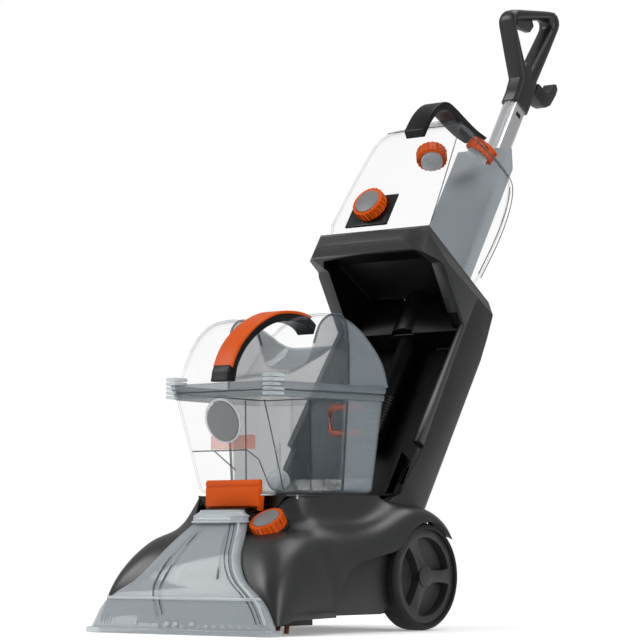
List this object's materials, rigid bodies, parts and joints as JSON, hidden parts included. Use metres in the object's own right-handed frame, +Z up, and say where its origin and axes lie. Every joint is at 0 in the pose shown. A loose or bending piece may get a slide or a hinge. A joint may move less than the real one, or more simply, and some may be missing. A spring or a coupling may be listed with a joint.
{
  "type": "upright carpet cleaner",
  "caption": "Upright carpet cleaner: clear floor nozzle, grey hood on two rear wheels, lift-off dirty-water tank, reclining upright with clean-water tank and triangular grip.",
  "frame": {"origin": "on the floor, below the middle of the whole machine at its stored lean", "axes": "+Z up, the nozzle faces -Y, the machine's left side is +X"},
  "size_m": [0.33, 0.9072, 0.9838],
  "materials": {
    "hood_plastic": "moulded, fine satin texture",
    "frame_plastic": "moulded, satin dark grey",
    "dark_plastic": "moulded, near black",
    "shell_plastic": "moulded, dark charcoal",
    "spine_plastic": "moulded, satin light grey",
    "handle_plastic": "moulded, fine grained charcoal",
    "wheel_plastic": "moulded, dark grey",
    "orange_plastic": "moulded, satin orange",
    "disc_plastic": "moulded, mid grey",
    "clear_plastic": "clear moulded plastic",
    "smoke_plastic": "clear moulded plastic, slightly tinted",
    "tyre_rubber": "soft black tyre",
    "seal_rubber": "black seal rubber",
    "tuft_fibre": "nylon bristle tufts, rust red",
    "anodised_tube": "satin anodised aluminium",
    "zinc_steel": "bright zinc plated steel",
    "motor_case": "plain motor can"
  },
  "bodies": {
    "base": {"chassis": "dark_plastic", "hood": "hood_plastic", "nozzle_cover": "smoke_plastic", "nozzle_lip": "smoke_plastic", "nozzle_duct": "dark_plastic", "brush_housing": "dark_plastic", "spray_bar": "spine_plastic", "brush_motor": "motor_case", "drive_belt": "seal_rubber", "solution_pump": "spine_plastic", "hose_port": "dark_plastic", "axle_pins": "zinc_steel", "pivot_trunnions": "shell_plastic", "hood_screws": "zinc_steel"},
    "brush_roll": {"brush_core": "dark_plastic", "brush_tufts": "tuft_fibre"},
    "motor_pulley": {"motor_pulley": "zinc_steel"},
    "latch": {"tank_latch": "orange_plastic"},
    "port_cap": {"port_cap": "orange_plastic", "port_cap_disc": "disc_plastic"},
    "wheel_left": {"tyre_left": "tyre_rubber", "hub_left": "wheel_plastic"},
    "wheel_right": {"tyre_right": "tyre_rubber", "hub_right": "wheel_plastic"},
    "recline_pedal": {"recline_pedal": "shell_plastic"},
    "dirty_tank": {"dirty_tank": "clear_plastic", "tank_gasket": "seal_rubber", "tank_badge": "disc_plastic", "standpipe": "clear_plastic"},
    "tank_lid": {"tank_lid": "clear_plastic", "lid_handle_core": "dark_plastic", "lid_handle_grip": "orange_plastic"},
    "float": {"float": "disc_plastic"},
    "upright": {"rear_shell": "shell_plastic", "cavity_liner": "dark_plastic", "bezel": "frame_plastic", "tank_shelf": "shell_plastic", "spine_cover": "spine_plastic", "handle_tube": "anodised_tube", "grip_loop": "handle_plastic", "vacuum_motor": "motor_case", "motor_housing": "dark_plastic", "air_duct": "dark_plastic", "cord_gland": "dark_plastic", "lower_cord_hook": "handle_plastic"},
    "cord_hook": {"upper_cord_hook": "handle_plastic"},
    "trigger": {"trigger": "frame_plastic"},
    "push_rod": {"push_rod": "spine_plastic"},
    "power_switch": {"power_switch": "frame_plastic"},
    "clean_tank": {"clean_tank": "clear_plastic", "carry_handle": "dark_plastic", "solution_panel": "dark_plastic"},
    "filler_cap_left": {"filler_cap_left": "orange_plastic"},
    "filler_cap_right": {"filler_cap_right": "orange_plastic"},
    "solution_cap": {"solution_cap": "orange_plastic", "solution_cap_disc": "disc_plastic"}
  },
  "joints": [
    {"name": "wheel_left_spin", "type": "hinge", "parent": "base", "child": "wheel_left", "pos_m": [0, -0.10862, 0.075], "axis": [1, 0, 0], "continuous": true},
    {"name": "wheel_right_spin", "type": "hinge", "parent": "base", "child": "wheel_right", "pos_m": [0, -0.10862, 0.075], "axis": [1, 0, 0], "continuous": true},
    {"name": "brush_spin", "type": "hinge", "parent": "base", "child": "brush_roll", "pos_m": [0, -0.36162, 0.031], "axis": [1, 0, 0], "continuous": true},
    {"name": "pulley_spin", "type": "hinge", "parent": "base", "child": "motor_pulley", "pos_m": [0, -0.28562, 0.062], "axis": [1, 0, 0], "continuous": true},
    {"name": "recline", "type": "hinge", "parent": "base", "child": "upright", "pos_m": [0, -0.10162, 0.14], "axis": [-1, 0, 0], "range_deg": [-27, 38]},
    {"name": "dirty_tank_lift", "type": "slide", "parent": "base", "child": "dirty_tank", "axis": [0, 0, 1], "range_m": [0, 0.25]},
    {"name": "lid_lift", "type": "slide", "parent": "dirty_tank", "child": "tank_lid", "axis": [0, 0, 1], "range_m": [0, 0.1]},
    {"name": "float_rise", "type": "slide", "parent": "dirty_tank", "child": "float", "axis": [0, 0, 1], "range_m": [0, 0.05]},
    {"name": "latch_tilt", "type": "hinge", "parent": "base", "child": "latch", "pos_m": [0, -0.33162, 0.172], "axis": [1, 0, 0], "range_deg": [0, 25]},
    {"name": "port_cap_pull", "type": "slide", "parent": "base", "child": "port_cap", "axis": [0, -0.5878, 0.809], "range_m": [0, 0.15]},
    {"name": "pedal_press", "type": "hinge", "parent": "base", "child": "recline_pedal", "pos_m": [0, -0.04462, 0.052], "axis": [-1, 0, 0], "range_deg": [0, 15], "stiffness_Nm_per_rad": 2, "springref_deg": -20.05},
    {"name": "trigger_pull", "type": "hinge", "parent": "upright", "child": "trigger", "pos_m": [0, 0.34859, 0.96239], "axis": [1, 0, 0], "range_deg": [0, 10], "stiffness_Nm_per_rad": 1, "springref_deg": -11.46},
    {"name": "push_rod_slide", "type": "slide", "parent": "upright", "child": "push_rod", "axis": [0, 0.5299, 0.848], "range_m": [-0.004, 0]},
    {"name": "hook_swivel", "type": "hinge", "parent": "upright", "child": "cord_hook", "pos_m": [0, 0.38485, 0.85247], "axis": [0, 0.848, -0.5299], "range_deg": [0, 180]},
    {"name": "switch_rock", "type": "hinge", "parent": "upright", "child": "power_switch", "pos_m": [0, 0.23203, 0.60129], "axis": [1, 0, 0], "range_deg": [0, 12]},
    {"name": "clean_tank_lift", "type": "slide", "parent": "upright", "child": "clean_tank", "axis": [0, 0.5299, 0.848], "range_m": [0, 0.1]},
    {"name": "filler_left_turn", "type": "hinge", "parent": "clean_tank", "child": "filler_cap_left", "pos_m": [0.05, 0.18686, 0.72621], "axis": [0.4067, 0.4841, 0.7747], "range_deg": [0, 90]},
    {"name": "filler_right_turn", "type": "hinge", "parent": "clean_tank", "child": "filler_cap_right", "pos_m": [-0.05, 0.18686, 0.72621], "axis": [-0.4067, 0.4841, 0.7747], "range_deg": [0, 90]},
    {"name": "solution_cap_turn", "type": "hinge", "parent": "clean_tank", "child": "solution_cap", "pos_m": [-0.016, -0.01867, 0.62941], "axis": [0, -0.848, 0.5299], "range_deg": [0, 90]}
  ],
  "couplings": [
    {"joint": "pulley_spin", "follows": "brush_spin", "ratio": 1.3333},
    {"joint": "push_rod_slide", "follows": "trigger_pull", "m_per_rad": -0.02}
  ]
}
